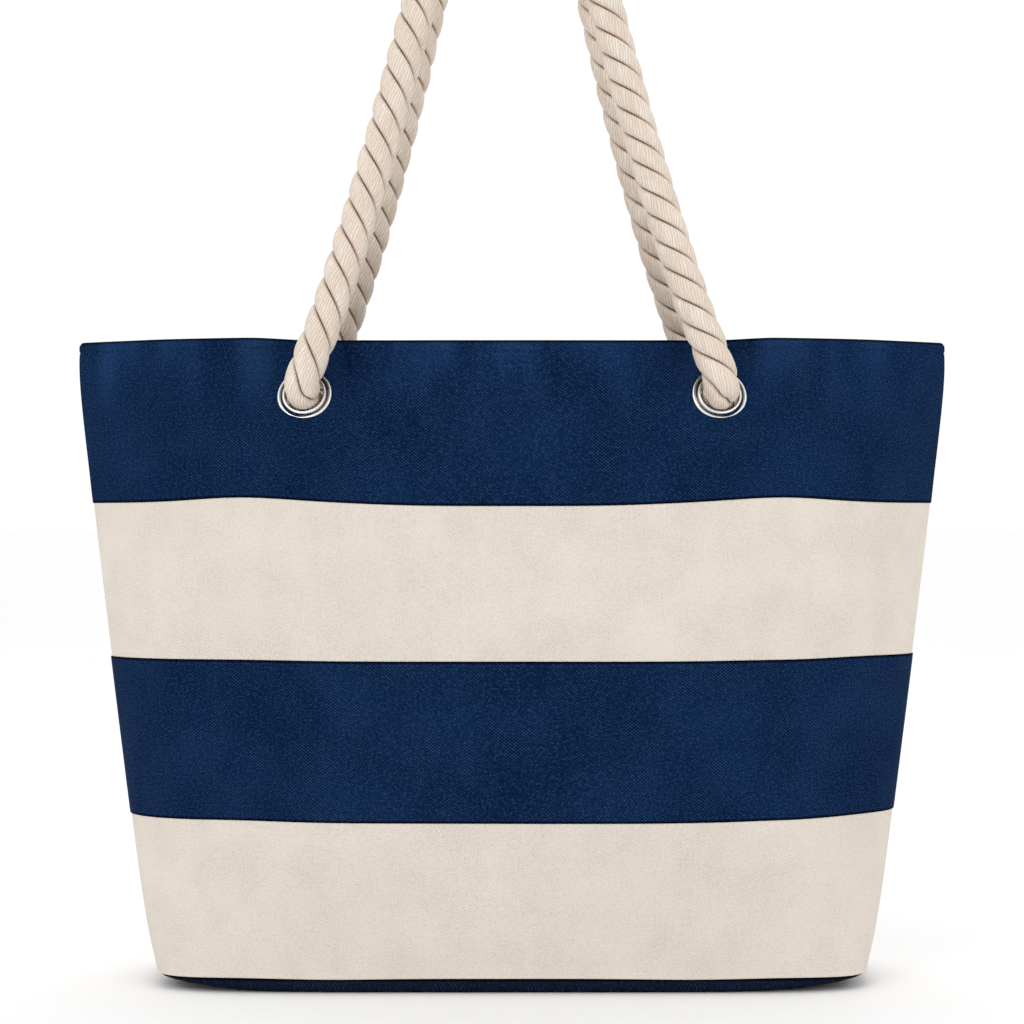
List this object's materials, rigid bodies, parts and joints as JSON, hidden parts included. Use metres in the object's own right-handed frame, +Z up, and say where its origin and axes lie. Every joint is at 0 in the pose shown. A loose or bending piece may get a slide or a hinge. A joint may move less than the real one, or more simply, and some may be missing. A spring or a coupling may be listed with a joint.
{
  "type": "canvas tote bag",
  "caption": "Open-topped striped canvas tote bag with a boxed base and two thick rope handles through metal grommets.",
  "frame": {"origin": "on the floor, under the middle of the whole bag", "axes": "+Z up, -Y out of the front panel, +X to the right as seen from the front"},
  "size_m": [0.5016, 0.1604, 0.632],
  "materials": {
    "navy_canvas": "woven canvas, matt",
    "cream_canvas": "woven canvas, matt",
    "lining_cloth": "plain woven cotton, matt",
    "cotton_rope": "three-strand twisted cotton rope",
    "whipping_twine": "waxed cotton twine",
    "stiffener_board": "matt sheet",
    "polished_nickel": "polished nickel plate"
  },
  "bodies": {
    "bag": {"front_bottom_cream_band": "cream_canvas", "front_lower_navy_band": "navy_canvas", "front_upper_cream_band": "cream_canvas", "front_top_navy_band": "navy_canvas", "front_top_facing": "navy_canvas", "front_lining": "lining_cloth", "front_left_grommet_face": "polished_nickel", "front_left_grommet_washer": "polished_nickel", "front_left_rope_in_grommet": "cotton_rope", "front_left_rope_knot": "cotton_rope", "front_left_whipped_end": "whipping_twine", "front_right_grommet_face": "polished_nickel", "front_right_grommet_washer": "polished_nickel", "front_right_rope_in_grommet": "cotton_rope", "front_right_rope_knot": "cotton_rope", "front_right_whipped_end": "whipping_twine", "rear_bottom_cream_band": "cream_canvas", "rear_lower_navy_band": "navy_canvas", "rear_upper_cream_band": "cream_canvas", "rear_top_navy_band": "navy_canvas", "rear_top_facing": "navy_canvas", "rear_lining": "lining_cloth", "rear_left_grommet_face": "polished_nickel", "rear_left_grommet_washer": "polished_nickel", "rear_left_rope_in_grommet": "cotton_rope", "rear_left_rope_knot": "cotton_rope", "rear_left_whipped_end": "whipping_twine", "rear_right_grommet_face": "polished_nickel", "rear_right_grommet_washer": "polished_nickel", "rear_right_rope_in_grommet": "cotton_rope", "rear_right_rope_knot": "cotton_rope", "rear_right_whipped_end": "whipping_twine", "base_panel": "navy_canvas", "base_board": "stiffener_board", "base_lining": "lining_cloth"},
    "front_handle": {"front_rope_handle": "cotton_rope"},
    "rear_handle": {"rear_rope_handle": "cotton_rope"}
  },
  "joints": [
    {"name": "front_handle_swing", "type": "hinge", "parent": "bag", "child": "front_handle", "pos_m": [0, -0.07003, 0.34], "axis": [1, 0, 0], "range_deg": [0, 160]},
    {"name": "rear_handle_swing", "type": "hinge", "parent": "bag", "child": "rear_handle", "pos_m": [0, 0.07003, 0.34], "axis": [-1, 0, 0], "range_deg": [0, 160]}
  ]
}
